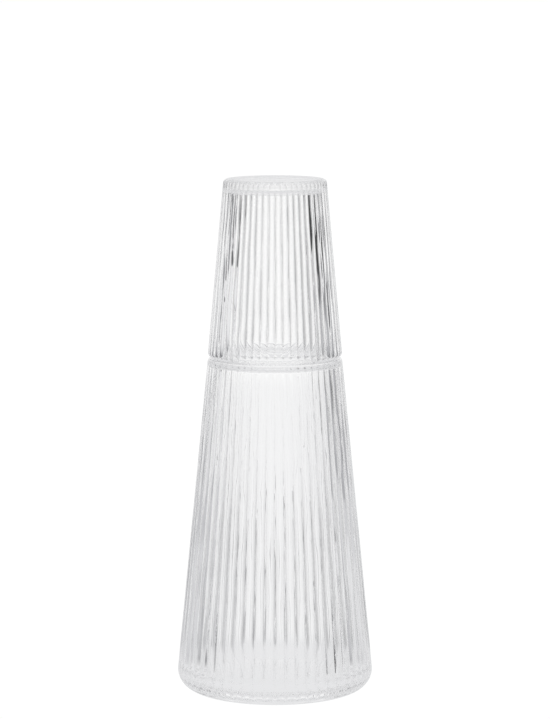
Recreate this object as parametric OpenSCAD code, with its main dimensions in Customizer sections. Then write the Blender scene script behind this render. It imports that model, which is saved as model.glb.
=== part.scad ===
// Bedside carafe with its tumbler turned upside down over the collar of its mouth.
// Millimetres, +Z up. The origin is on the axis, in the plane of the underside.
// Both pieces are clear glass with upright ribs outside and smooth walls inside.

/* [Carafe body] */
// Diameter where the line of the wall meets the plane of the underside
foot_d = 112; // [100:1:126]
// Diameter where the line of the wall meets the plane of the shoulder
shoulder_d = 75.1; // [72:0.1:84]
// Height of the shoulder above the underside
shoulder_h = 188; // [150:1:230]
// Thickness of the wall, measured level, from the inside to the crest of a rib
body_wall = 4; // [3:0.1:5]
// Thickness of the floor
floor_t = 8; // [5:0.5:14]
// Height over which the inside narrows to the collar, below the shoulder
throat_h = 4; // [3:0.5:10]
// Radius of the round between the underside and the wall
foot_round = 10.8; // [6:0.2:14]
// Radius of the round on the shoulder's outer edge
shoulder_round = 2.2; // [1.2:0.1:2.6]
// Radius of the round between the floor and the wall, inside
floor_round = 8; // [4:0.5:12]
// Radius of the round where the inside starts to narrow
throat_round = 2; // [1:0.5:4]

/* [Collar] */
// Height of the collar above the shoulder
collar_h = 4; // [3:0.5:8]
// Thickness of the collar's wall
collar_wall = 3.2; // [2.6:0.1:4]
// Radius of the round between the shoulder and the collar
collar_root_round = 0.8; // [0.4:0.1:1]
// Radius of the round where the narrowing ends at the collar, inside
mouth_round = 1.6; // [0.5:0.1:2]

/* [Tumbler] */
// Height of the tumbler
tumbler_h = 99.7; // [90:0.1:120]
// Diameter where the line of the tumbler's wall meets the plane of its base
base_d = 57.4; // [50:0.2:66]
// Thickness of the tumbler's wall, measured level, from the inside to the crest of a rib
tumbler_wall = 5; // [4:0.1:6]
// Thickness of the tumbler's base
base_t = 5.3; // [4:0.1:10]
// Radius of the round on the edge of the tumbler's base
base_round = 2.4; // [1:0.1:4]
// Radius of the round between the tumbler's wall and base, inside
cavity_round = 3; // [2:0.5:9]
// Radius of the drinking lip, outside
lip_round = 2.8; // [1.6:0.1:3]
// Radius of the drinking lip, inside
lip_inner_round = 1; // [0.4:0.1:1.2]

/* [Fit] */
// How much wider the tumbler's mouth is than the shoulder, across
mouth_overhang = 0.4; // [0:0.1:1]
// Clearance between the tumbler's lip and the shoulder
seat_gap = 0.3; // [0.1:0.1:0.8]
// Clearance between the collar and the inside of the tumbler, measured level
collar_gap = 0.6; // [0.3:0.1:1.2]

/* [Ribs] */
// Ribs round each piece
rib_count = 56; // [36:4:60]
// Depth of the grooves between the ribs, at the foot of the carafe
body_groove_d = 0.8; // [0.4:0.1:1.2]
// Width of the grooves between the ribs, at the foot of the carafe
body_groove_w = 2.2; // [1.6:0.1:3]
// Depth of the grooves between the ribs, at the mouth of the tumbler
tumbler_groove_d = 0.6; // [0.3:0.1:1]
// Width of the grooves between the ribs, at the mouth of the tumbler
tumbler_groove_w = 1.6; // [1.2:0.1:2.2]

/* [Hidden] */
$fn = 96;
// How far a cutting shape runs past what it cuts
overrun = 2;
corner_overrun = 0.5;
foot_r = foot_d / 2;
shoulder_r = shoulder_d / 2;
collar_top_h = shoulder_h + collar_h;
throat_bottom_h = shoulder_h - throat_h;
collar_edge_round_share = 0.45;
collar_edge_round = collar_wall * collar_edge_round_share;
mouth_r = shoulder_r + mouth_overhang / 2;
base_r = base_d / 2;
seat_h = shoulder_h + seat_gap;
top_h = seat_h + tumbler_h;
// Turns a piece so that the middle of a groove, not of a rib, faces -Y
half_rib_turn = 180 / rib_count;

// Radius at height z on the straight line from radius r0 at z0 to radius r1 at z1
function line_r(r0, z0, r1, z1, z) = r0 + (r1 - r0) * (z - z0) / (z1 - z0);
function body_r(z) = line_r(foot_r, 0, shoulder_r, shoulder_h, z);
function tumbler_r(z) = line_r(mouth_r, seat_h, base_r, top_h, z);
function collar_r(z) = tumbler_r(z) - tumbler_wall - collar_gap;

// Corner rounding: p is the corner, a and b are points on its two sides
function unit(v) = v / norm(v);
function half_angle(a, p, b) = acos(unit(a - p) * unit(b - p)) / 2;
function touch(a, p, b, r) = p + unit(a - p) * r / tan(half_angle(a, p, b));
function round_centre(a, p, b, r) = p + unit(unit(a - p) + unit(b - p)) * r / sin(half_angle(a, p, b));

// The small area between a corner and the arc that rounds it, with its point drawn out a little
module corner(a, p, b, r) {
    centre = round_centre(a, p, b, r);
    point = p - unit(centre - p) * corner_overrun;
    difference() {
        polygon([point, touch(a, p, b, r), centre, touch(b, p, a, r)]);
        translate(centre) circle(r = r);
    }
}

// Grooves that narrow with a cone of radius r0 at height z0 and r1 at z1, cut d deep and w wide at r0
module grooves(r0, z0, r1, z1, d, w) {
    // Radius of the round groove, from its width and depth
    g = (w * w / 4 + d * d) / (2 * d);
    length = norm([r1 - r0, z1 - z0]);
    lean = atan2(r1 - r0, z1 - z0);
    // The cutting cone is longer than the wall by this share at both ends
    past_share = 0.04;
    past = length * past_share;
    narrowing = (r1 / r0 - 1) / length;
    for (i = [0 : rib_count - 1])
        rotate([0, 0, (i + 0.5) * 360 / rib_count])
            translate([r0, 0, z0])
                rotate([0, lean, 0])
                    rotate([0, atan(narrowing * (g - d)), 0])
                        translate([g - d, 0, -past])
                            cylinder(
                                h = length + 2 * past,
                                r1 = g * (1 - narrowing * past),
                                r2 = g * (1 + narrowing * (length + past))
                            );
}

// Half sections, with x as the radius and y as the height
module carafe_outline() {
    foot = [foot_r, 0];
    edge = [shoulder_r, shoulder_h];
    root = [collar_r(shoulder_h), shoulder_h];
    lip = [collar_r(collar_top_h), collar_top_h];
    difference() {
        union() {
            polygon([[0, 0], foot, edge, root, lip, [0, collar_top_h]]);
            corner(edge, root, lip, collar_root_round);
        }
        corner([0, 0], foot, edge, foot_round);
        corner(foot, edge, root, shoulder_round);
        corner(root, lip, [0, collar_top_h], collar_edge_round);
    }
}

module carafe_hollow() {
    floor_edge = [body_r(floor_t) - body_wall, floor_t];
    throat = [body_r(throat_bottom_h) - body_wall, throat_bottom_h];
    mouth_root = [collar_r(shoulder_h) - collar_wall, shoulder_h];
    mouth = [collar_r(collar_top_h) - collar_wall, collar_top_h];
    past_mouth = mouth + unit(mouth - mouth_root) * overrun;
    difference() {
        union() {
            polygon([[0, floor_t], floor_edge, throat, mouth_root, past_mouth, [0, past_mouth[1]]]);
            corner(throat, mouth_root, mouth, mouth_round);
            corner([collar_r(collar_top_h), collar_top_h], mouth, mouth_root, collar_edge_round);
        }
        corner([0, floor_t], floor_edge, throat, floor_round);
        corner(floor_edge, throat, mouth_root, throat_round);
    }
}

module tumbler_outline() {
    mouth = [mouth_r, seat_h];
    base = [base_r, top_h];
    difference() {
        polygon([[0, seat_h], mouth, base, [0, top_h]]);
        corner([0, seat_h], mouth, base, lip_round);
        corner(mouth, base, [0, top_h], base_round);
    }
}

module tumbler_hollow() {
    inner_h = top_h - base_t;
    mouth = [mouth_r - tumbler_wall, seat_h];
    inner_base = [tumbler_r(inner_h) - tumbler_wall, inner_h];
    past_mouth = mouth + unit(mouth - inner_base) * overrun;
    difference() {
        union() {
            polygon([[0, past_mouth[1]], past_mouth, inner_base, [0, inner_h]]);
            corner(inner_base, mouth, [mouth_r, seat_h], lip_inner_round);
        }
        corner(mouth, inner_base, [0, inner_h], cavity_round);
    }
}

// The carafe is one piece of glass: ribbed body, thick floor, narrow shoulder and low collar
module carafe() {
    color([0.86, 0.9, 0.9, 0.5])
        rotate([0, 0, half_rib_turn]) difference() {
            rotate_extrude() carafe_outline();
            rotate_extrude() carafe_hollow();
            grooves(foot_r, 0, shoulder_r, shoulder_h, body_groove_d, body_groove_w);
        }
}

// The tumbler stands on its rim on the shoulder, round the collar, with its base up
module tumbler() {
    color([0.88, 0.92, 0.92, 0.5])
        rotate([0, 0, half_rib_turn]) difference() {
            rotate_extrude() tumbler_outline();
            rotate_extrude() tumbler_hollow();
            grooves(mouth_r, seat_h, base_r, top_h, tumbler_groove_d, tumbler_groove_w);
        }
}

carafe();
tumbler();
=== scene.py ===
"""Looks of a bedside carafe with its tumbler: two pieces of clear ribbed glass on a pale floor.

Everything is in metres, in the frame's own axes, with the carafe's underside at z = 0.
"""

import math

import bpy
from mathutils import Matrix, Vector

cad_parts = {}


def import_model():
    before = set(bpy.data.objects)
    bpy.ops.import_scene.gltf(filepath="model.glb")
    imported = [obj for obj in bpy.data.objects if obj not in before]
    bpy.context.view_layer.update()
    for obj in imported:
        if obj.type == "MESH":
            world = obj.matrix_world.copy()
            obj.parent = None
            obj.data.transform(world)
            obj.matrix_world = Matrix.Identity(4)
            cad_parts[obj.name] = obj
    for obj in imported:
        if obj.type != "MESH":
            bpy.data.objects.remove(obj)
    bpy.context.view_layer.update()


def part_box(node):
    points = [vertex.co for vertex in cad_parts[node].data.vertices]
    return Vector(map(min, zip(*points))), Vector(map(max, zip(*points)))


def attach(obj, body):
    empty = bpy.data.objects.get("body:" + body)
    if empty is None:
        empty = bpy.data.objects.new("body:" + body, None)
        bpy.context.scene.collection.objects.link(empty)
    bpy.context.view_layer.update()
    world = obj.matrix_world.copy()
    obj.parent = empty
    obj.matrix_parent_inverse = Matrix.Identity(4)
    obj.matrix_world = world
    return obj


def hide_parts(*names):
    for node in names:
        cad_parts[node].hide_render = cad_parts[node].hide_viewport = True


MM = 0.001

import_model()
carafe_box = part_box("carafe")
tumbler_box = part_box("tumbler")

# Camera, found by fitting the object's outline in the 550 x 719 photograph
CAMERA_DISTANCE = 1.728
CAMERA_HEIGHT = 0.4137
CAMERA_PITCH = math.radians(7.483)
FOCAL_PIXELS = 3115.7
PHOTO_HEIGHT = 719
SENSOR = 36
VIEW_DEPTH = 100

# Sizes of the carafe
FOOT_R = 56 * MM
SHOULDER_R = 37.55 * MM
SHOULDER_H = 188 * MM
BODY_WALL = 4 * MM
FLOOR_T = 8 * MM
FOOT_ROUND = 10.8 * MM
SHOULDER_ROUND = 2.2 * MM
FLOOR_ROUND = 8 * MM
THROAT_H = 4 * MM
THROAT_ROUND = 2 * MM
COLLAR_GAP = 0.6 * MM
COLLAR_WALL = 3.2 * MM
COLLAR_ROOT_ROUND = 0.8 * MM
COLLAR_EDGE_ROUND = 1.4 * MM
MOUTH_ROUND = 1.6 * MM
COLLAR_TOP = carafe_box[1][2]
# Steps of its rounds, and of the walls and ledges between them
FOOT_STEPS = 24
BODY_STEPS = 28
SHOULDER_STEPS = 12
LEDGE_STEPS = 2
COLLAR_ROOT_STEPS = 6
COLLAR_EDGE_STEPS = 8
MOUTH_STEPS = 8
NARROWING_STEPS = 2
THROAT_STEPS = 10
HOLLOW_STEPS = 24
FLOOR_ROUND_STEPS = 12

# Sizes of the tumbler
MOUTH_R = 37.75 * MM
BASE_R = 28.7 * MM
TUMBLER_WALL = 5 * MM
BASE_T = 5.3 * MM
BASE_ROUND = 2.4 * MM
CAVITY_ROUND = 3 * MM
LIP_ROUND = 2.8 * MM
LIP_INNER_ROUND = 1 * MM
SEAT_H = tumbler_box[0][2]
TOP_H = tumbler_box[1][2]
# Steps of its rounds and walls
CAVITY_STEPS = 12
INNER_WALL_STEPS = 20
LIP_INNER_STEPS = 8
LIP_STEPS = 16
OUTER_WALL_STEPS = 24
BASE_STEPS = 12

# Steps across each flat underside, floor and base, between the axis and its round
FLAT_STEPS = 4
# Points nearer the axis than this lie on it
ON_AXIS = 0.0001 * MM

# Ribs
RIBS = 56
STEPS_PER_RIB = 12
COLUMNS = RIBS * STEPS_PER_RIB
FOOT_GROOVE = 1.25 * MM
SHOULDER_GROOVE = 0.32 * MM
GROOVE_GROWTH = 1.35
FOOT_FADE_LOW = 2 * MM
FOOT_FADE_HIGH = 14 * MM
SHOULDER_FADE = 2.4 * MM
LIP_FADE = 5 * MM
BASE_FADE = 1.6 * MM
MOUTH_GROOVE = 0.8 * MM
BASE_GROOVE = 0.65 * MM
BODY_CREST_POWER = 3.5
TUMBLER_CREST_POWER = 2.4
GROOVE_SOFTNESS = 0.02

# Slight waves of the inside: (waves round the piece, radians per metre of height, phase, size)
WOBBLES = [
    (3, 25, 2.2, 0.08 * MM),
    (11, 60, 0.3, 0.05 * MM),
    (23, -95, 1.9, 0.04 * MM),
    (37, 150, 4.2, 0.03 * MM),
    (53, -230, 1.1, 0.015 * MM),
]
WAVES_FADE = 10 * MM

# Unevenness of the glass: noise cells per metre, shares of that along each axis, and height
UNEVEN_SCALE = 160
UNEVEN_STRETCH = (1, 1, 0.3)
UNEVEN_DETAIL = 1.5
UNEVEN_STRENGTH = 1
UNEVEN_HEIGHT = 0.12 * MM
GLASS_IOR = 1.5
# Light passes through many walls of ribbed glass before it reaches the camera
BOUNCES = 64

# Light: what the camera itself sees is white, and dark tones are a little cool
WHITE = 1.02
COOL = (-0.03, -0.02, 0.05)
# Strips of light and dark, as (degrees right of +Y, tone). They lie on the floor near the object,
# on the floor further off and on the far floor, and the last ones stand round it.
NEAR_TONES = [
    (-180, 0.9), (-120, 0.9), (-95, 0.1), (-60, 0.6), (-50, 0.7), (-35, 0.2), (-20, 0.9), (20, 0.9),
    (35, 0.1), (50, 0.8), (70, 0.5), (90, 0), (110, 0), (140, 0.9), (180, 0.9),
]
MIDDLE_TONES = [
    (-180, 1.1), (-90, 0.8), (-45, 0.5), (-20, 0.9), (20, 0.9), (45, 0.6), (90, 0.9), (180, 1.1),
]
FAR_TONES = [
    (-180, 1), (-60, 0.8), (-50, 0.3), (-35, 0.3), (-25, 1), (25, 1), (35, 0.1), (60, 0.5),
    (70, 0), (80, 0), (100, 0.7), (180, 1),
]
ROUND_TONES = [
    (-180, 1), (-90, 1), (-75, 0.1), (-50, 0.2), (-35, 0.1), (-20, 1), (0, 0.8), (20, 1), (35, 0.1),
    (60, 0.4), (70, 0), (80, 0), (100, 0.6), (180, 1),
]
# The floor under the object has one tone
CLOSE_TONE = 0.8
# Where one ring of the floor gives way to the next, in metres from the object's axis
NEAR_FROM, NEAR_TO = 0.07, 0.16
MIDDLE_FROM, MIDDLE_TO = 0.6, 0.9
FAR_FROM, FAR_TO = 1.2, 1.6
FLOOR_HALF = 30
# Directions higher than these see a light surface overhead
OVERHEAD_TONE = 0.75
OVERHEAD_FROM, OVERHEAD_TO = 0.12, 0.35


def on_line(r0, z0, r1, z1, z):
    """Radius or depth at height z, on the line from r0 at height z0 to r1 at height z1."""
    return r0 + (r1 - r0) * (z - z0) / (z1 - z0)


def rounded(corners):
    """Points of a half section.

    Each corner is (radius, height, round, steps of the round, steps of the side after it).
    """
    points = []
    steps_to_here = 1
    count = len(corners)
    for i, (x, y, size, steps, side_steps) in enumerate(corners):
        here = Vector((x, y))
        if size == 0:
            arc = [here]
        else:
            to_last = (Vector(corners[i - 1][:2]) - here).normalized()
            to_next = (Vector(corners[(i + 1) % count][:2]) - here).normalized()
            half = to_last.angle(to_next) / 2
            reach = size / math.tan(half)
            centre = here + (to_last + to_next).normalized() * size / math.sin(half)
            start = here + to_last * reach - centre
            end = here + to_next * reach - centre
            a0 = math.atan2(start.y, start.x)
            turn = (math.atan2(end.y, end.x) - a0 + math.pi) % (2 * math.pi) - math.pi
            angles = [a0 + turn * k / steps for k in range(steps + 1)]
            arc = [centre + Vector((math.cos(a), math.sin(a))) * size for a in angles]
        if points:
            last = points[-1]
            points += [last.lerp(arc[0], k / steps_to_here) for k in range(1, steps_to_here)]
        points += arc
        steps_to_here = side_steps
    return points


def groove_shape(u, crest_power):
    """Share of the groove's depth at u, from -0.5 to 0.5 across one rib with its crest at 0."""
    def vee(a):
        return math.sqrt((1 - a) ** 2 + GROOVE_SOFTNESS**2) - GROOVE_SOFTNESS
    share = 1 - vee(abs(2 * u)) / vee(0)
    return max(share, 0) ** crest_power


def wobble(a, z):
    """How far the fire polished inside strays from round at angle a and height z."""
    return sum(size * math.sin(waves * a + twist * z + phase) for waves, twist, phase, size in WOBBLES)


def turned(name, outline, groove, crest_power, waves):
    """A closed surface turned about the axis.

    At each point p of its half section the grooves are groove(p) deep, and the slight waves have
    the share waves(p) of their size.
    """
    verts = []
    faces = []
    rings = []
    # Places across one rib, closer together towards its grooves
    places = [(1 - math.cos(math.pi * j / STEPS_PER_RIB)) / 2 for j in range(STEPS_PER_RIB)]
    shares = [groove_shape(u - 0.5, crest_power) for u in places]
    for p in outline:
        if p.x < ON_AXIS:
            rings.append([len(verts)])
            verts.append((0, 0, p.y))
            continue
        depth = groove(p)
        share = waves(p)
        ring = []
        for j in range(COLUMNS):
            rib, step = divmod(j, STEPS_PER_RIB)
            a = 2 * math.pi * (rib + places[step]) / RIBS - math.pi / 2
            r = p.x - depth * shares[step] + share * wobble(a, p.y)
            ring.append(len(verts))
            verts.append((r * math.cos(a), r * math.sin(a), p.y))
        rings.append(ring)
    for low, high in zip(rings, rings[1:]):
        for j in range(COLUMNS):
            k = (j + 1) % COLUMNS
            if len(low) == 1:
                faces.append((low[0], high[k], high[j]))
            elif len(high) == 1:
                faces.append((low[j], low[k], high[0]))
            else:
                faces.append((low[j], low[k], high[k], high[j]))
    mesh = bpy.data.meshes.new(name)
    mesh.from_pydata(verts, [], faces)
    mesh.validate()
    mesh.shade_smooth()
    piece = bpy.data.objects.new(name, mesh)
    bpy.context.scene.collection.objects.link(piece)
    return piece


def body_r(z):
    """Radius of the carafe's wall outside, over the crests of the ribs."""
    return on_line(FOOT_R, 0, SHOULDER_R, SHOULDER_H, z)


def tumbler_r(z):
    """Radius of the tumbler's wall outside, over the crests of the ribs."""
    return on_line(MOUTH_R, SEAT_H, BASE_R, TOP_H, z)


def fade(z, low, high):
    """A smooth rise from 0 at low to 1 at high."""
    t = min(max((z - low) / (high - low), 0), 1)
    return t * t * (3 - 2 * t)


def body_groove(p):
    """Depth of the carafe's grooves at the point p, which is 0 inside."""
    if p.y > FLOOR_T and p.x < body_r(p.y) - BODY_WALL / 2:
        return 0
    depth = SHOULDER_GROOVE + (FOOT_GROOVE - SHOULDER_GROOVE) * (1 - p.y / SHOULDER_H) ** GROOVE_GROWTH
    return depth * fade(p.y, FOOT_FADE_LOW, FOOT_FADE_HIGH) * fade(SHOULDER_H - p.y, 0, SHOULDER_FADE)


def tumbler_groove(p):
    """Depth of the tumbler's grooves at the point p, which is 0 inside."""
    if p.x < tumbler_r(p.y) - TUMBLER_WALL / 2:
        return 0
    depth = on_line(MOUTH_GROOVE, SEAT_H, BASE_GROOVE, TOP_H, p.y)
    return depth * fade(p.y - SEAT_H, 0, LIP_FADE) * fade(TOP_H - p.y, 0, BASE_FADE)


def body_waves(p):
    """Share of the waves on the carafe's inner wall, which is 0 elsewhere."""
    if p.x > body_r(p.y) - BODY_WALL / 2:
        return 0
    top = SHOULDER_H - THROAT_H
    return fade(p.y, FLOOR_T, FLOOR_T + WAVES_FADE) * fade(top - p.y, 0, WAVES_FADE)


def tumbler_waves(p):
    """Share of the waves on the tumbler's inner wall, which is 0 elsewhere."""
    if p.x > tumbler_r(p.y) - TUMBLER_WALL / 2:
        return 0
    return fade(p.y - SEAT_H, 0, WAVES_FADE) * fade(TOP_H - BASE_T - p.y, 0, WAVES_FADE)


def collar_r(z):
    """Outer radius of the collar, just clear of the tumbler's inside."""
    return tumbler_r(z) - TUMBLER_WALL - COLLAR_GAP


def carafe_glass():
    """The carafe: ribbed body, thick floor, narrow shoulder and low collar in one piece."""
    throat = SHOULDER_H - THROAT_H
    outer = collar_r(COLLAR_TOP)
    outline = rounded([
        (0, 0, 0, 1, FLAT_STEPS),
        (FOOT_R, 0, FOOT_ROUND, FOOT_STEPS, BODY_STEPS),
        (SHOULDER_R, SHOULDER_H, SHOULDER_ROUND, SHOULDER_STEPS, LEDGE_STEPS),
        (collar_r(SHOULDER_H), SHOULDER_H, COLLAR_ROOT_ROUND, COLLAR_ROOT_STEPS, 1),
        (outer, COLLAR_TOP, COLLAR_EDGE_ROUND, COLLAR_EDGE_STEPS, 1),
        (outer - COLLAR_WALL, COLLAR_TOP, COLLAR_EDGE_ROUND, COLLAR_EDGE_STEPS, 1),
        (collar_r(SHOULDER_H) - COLLAR_WALL, SHOULDER_H, MOUTH_ROUND, MOUTH_STEPS, NARROWING_STEPS),
        (body_r(throat) - BODY_WALL, throat, THROAT_ROUND, THROAT_STEPS, HOLLOW_STEPS),
        (body_r(FLOOR_T) - BODY_WALL, FLOOR_T, FLOOR_ROUND, FLOOR_ROUND_STEPS, FLAT_STEPS),
        (0, FLOOR_T, 0, 1, 1),
    ])
    return turned("carafe_glass", outline, body_groove, BODY_CREST_POWER, body_waves)


def tumbler_glass():
    """The tumbler, upside down on the shoulder, with its thick base up."""
    inner = TOP_H - BASE_T
    outline = rounded([
        (0, inner, 0, 1, FLAT_STEPS),
        (tumbler_r(inner) - TUMBLER_WALL, inner, CAVITY_ROUND, CAVITY_STEPS, INNER_WALL_STEPS),
        (MOUTH_R - TUMBLER_WALL, SEAT_H, LIP_INNER_ROUND, LIP_INNER_STEPS, 1),
        (MOUTH_R, SEAT_H, LIP_ROUND, LIP_STEPS, OUTER_WALL_STEPS),
        (BASE_R, TOP_H, BASE_ROUND, BASE_STEPS, FLAT_STEPS),
        (0, TOP_H, 0, 1, 1),
    ])
    return turned("tumbler_glass", outline, tumbler_groove, TUMBLER_CREST_POWER, tumbler_waves)


def glass_material(name):
    """Clear glass with the faint unevenness of a fire polished surface, drawn out upwards."""
    mat = bpy.data.materials.new(name)
    mat.use_nodes = True
    nodes = mat.node_tree.nodes
    links = mat.node_tree.links
    shader = nodes["Principled BSDF"]
    place = nodes.new("ShaderNodeTexCoord")
    stretch = nodes.new("ShaderNodeMapping")
    stretch.inputs["Scale"].default_value = UNEVEN_STRETCH
    links.new(place.outputs["Object"], stretch.inputs["Vector"])
    noise = nodes.new("ShaderNodeTexNoise")
    noise.inputs["Scale"].default_value = UNEVEN_SCALE
    noise.inputs["Detail"].default_value = UNEVEN_DETAIL
    links.new(stretch.outputs["Vector"], noise.inputs["Vector"])
    bump = nodes.new("ShaderNodeBump")
    bump.inputs["Strength"].default_value = UNEVEN_STRENGTH
    bump.inputs["Distance"].default_value = UNEVEN_HEIGHT
    links.new(noise.outputs["Fac"], bump.inputs["Height"])
    links.new(bump.outputs["Normal"], shader.inputs["Normal"])
    shader.inputs["Base Color"].default_value = (1, 1, 1, 1)
    shader.inputs["Roughness"].default_value = 0
    shader.inputs["IOR"].default_value = GLASS_IOR
    shader.inputs["Transmission Weight"].default_value = 1
    return mat


carafe = carafe_glass()
tumbler = tumbler_glass()
for piece, node, body in ((carafe, "carafe", "carafe_body"), (tumbler, "tumbler", "tumbler_body")):
    piece.data.materials.append(glass_material(piece.name))
    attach(piece, body)
    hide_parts(node)


def grey(tone):
    """The colour of a tone, a little cooler the darker it is."""
    return [tone * (1 + (1 - tone) * cool) for cool in COOL] + [1]


def round_tone(nodes, links, vector, stops):
    """Grey tones by the direction of a vector, seen from above.

    Each stop is (degrees right of +Y, tone).
    """
    split = nodes.new("ShaderNodeSeparateXYZ")
    links.new(vector, split.inputs[0])
    angle = nodes.new("ShaderNodeMath")
    angle.operation = "ARCTAN2"
    links.new(split.outputs["X"], angle.inputs[0])
    links.new(split.outputs["Y"], angle.inputs[1])
    place = nodes.new("ShaderNodeMapRange")
    place.inputs["From Min"].default_value = -math.pi
    place.inputs["From Max"].default_value = math.pi
    links.new(angle.outputs[0], place.inputs["Value"])
    ramp = nodes.new("ShaderNodeValToRGB")
    elements = ramp.color_ramp.elements
    while len(elements) < len(stops):
        elements.new(0.5)
    for element, (degrees, tone) in zip(elements, stops):
        element.position = (degrees + 180) / 360
    for element, (degrees, tone) in zip(elements, stops):
        element.color = grey(tone)
    links.new(place.outputs[0], ramp.inputs["Fac"])
    return ramp.outputs["Color"]


def seen_white(nodes, links, tone):
    """The tone, or white where the camera itself looks."""
    path = nodes.new("ShaderNodeLightPath")
    mix = nodes.new("ShaderNodeMix")
    mix.data_type = "RGBA"
    links.new(path.outputs["Is Camera Ray"], mix.inputs["Factor"])
    links.new(tone, mix.inputs["A"])
    mix.inputs["B"].default_value = (WHITE, WHITE, WHITE, 1)
    return mix.outputs["Result"]


def stage():
    """A wide floor in rings, with light and dark strips that run outwards."""
    mesh = bpy.data.meshes.new("floor")
    corners = [(x * FLOOR_HALF, y * FLOOR_HALF, 0) for x, y in ((-1, -1), (1, -1), (1, 1), (-1, 1))]
    mesh.from_pydata(corners, [], [(0, 1, 2, 3)])
    floor = bpy.data.objects.new("floor", mesh)
    bpy.context.scene.collection.objects.link(floor)
    mat = bpy.data.materials.new("floor")
    mat.use_nodes = True
    nodes = mat.node_tree.nodes
    links = mat.node_tree.links
    nodes.clear()
    glow = nodes.new("ShaderNodeEmission")
    place = nodes.new("ShaderNodeTexCoord")
    distance = nodes.new("ShaderNodeVectorMath")
    distance.operation = "LENGTH"
    links.new(place.outputs["Object"], distance.inputs[0])

    def blend(start, end, first, second):
        """From the first tone to the second as the distance from the object's axis grows."""
        share = nodes.new("ShaderNodeMapRange")
        share.interpolation_type = "SMOOTHSTEP"
        share.inputs["From Min"].default_value = start
        share.inputs["From Max"].default_value = end
        links.new(distance.outputs["Value"], share.inputs["Value"])
        mix = nodes.new("ShaderNodeMix")
        mix.data_type = "RGBA"
        links.new(share.outputs[0], mix.inputs["Factor"])
        links.new(first, mix.inputs["A"])
        links.new(second, mix.inputs["B"])
        return mix.outputs["Result"]

    close = nodes.new("ShaderNodeRGB")
    close.outputs[0].default_value = grey(CLOSE_TONE)
    tone = close.outputs[0]
    for start, end, stops in (
        (NEAR_FROM, NEAR_TO, NEAR_TONES),
        (MIDDLE_FROM, MIDDLE_TO, MIDDLE_TONES),
        (FAR_FROM, FAR_TO, FAR_TONES),
    ):
        tone = blend(start, end, tone, round_tone(nodes, links, place.outputs["Object"], stops))
    links.new(seen_white(nodes, links, tone), glow.inputs["Color"])
    out = nodes.new("ShaderNodeOutputMaterial")
    links.new(glow.outputs[0], out.inputs["Surface"])
    mesh.materials.append(mat)


def world():
    """Upright strips of light and dark all round, with a bright surface overhead."""
    w = bpy.data.worlds.new("studio")
    bpy.context.scene.world = w
    w.use_nodes = True
    nodes = w.node_tree.nodes
    links = w.node_tree.links
    back = nodes["Background"]
    place = nodes.new("ShaderNodeTexCoord")
    tone = round_tone(nodes, links, place.outputs["Generated"], ROUND_TONES)
    split = nodes.new("ShaderNodeSeparateXYZ")
    links.new(place.outputs["Generated"], split.inputs[0])
    height = nodes.new("ShaderNodeMapRange")
    height.interpolation_type = "SMOOTHSTEP"
    height.inputs["From Min"].default_value = OVERHEAD_FROM
    height.inputs["From Max"].default_value = OVERHEAD_TO
    links.new(split.outputs["Z"], height.inputs["Value"])
    mix = nodes.new("ShaderNodeMix")
    mix.data_type = "RGBA"
    links.new(height.outputs[0], mix.inputs["Factor"])
    links.new(tone, mix.inputs["A"])
    mix.inputs["B"].default_value = grey(OVERHEAD_TONE)
    links.new(seen_white(nodes, links, mix.outputs["Result"]), back.inputs["Color"])


def camera():
    """The camera, above the tumbler and tilted down a little."""
    data = bpy.data.cameras.new("camera")
    data.sensor_width = SENSOR
    data.lens = FOCAL_PIXELS / PHOTO_HEIGHT * SENSOR
    data.clip_end = VIEW_DEPTH
    cam = bpy.data.objects.new("camera", data)
    cam.location = (0, -CAMERA_DISTANCE, CAMERA_HEIGHT)
    cam.rotation_euler = (math.pi / 2 - CAMERA_PITCH, 0, 0)
    bpy.context.scene.collection.objects.link(cam)
    bpy.context.scene.camera = cam


stage()
world()
camera()
scene = bpy.context.scene
scene.view_settings.view_transform = "Standard"
scene.cycles.max_bounces = BOUNCES
scene.cycles.transmission_bounces = BOUNCES
scene.cycles.glossy_bounces = BOUNCES
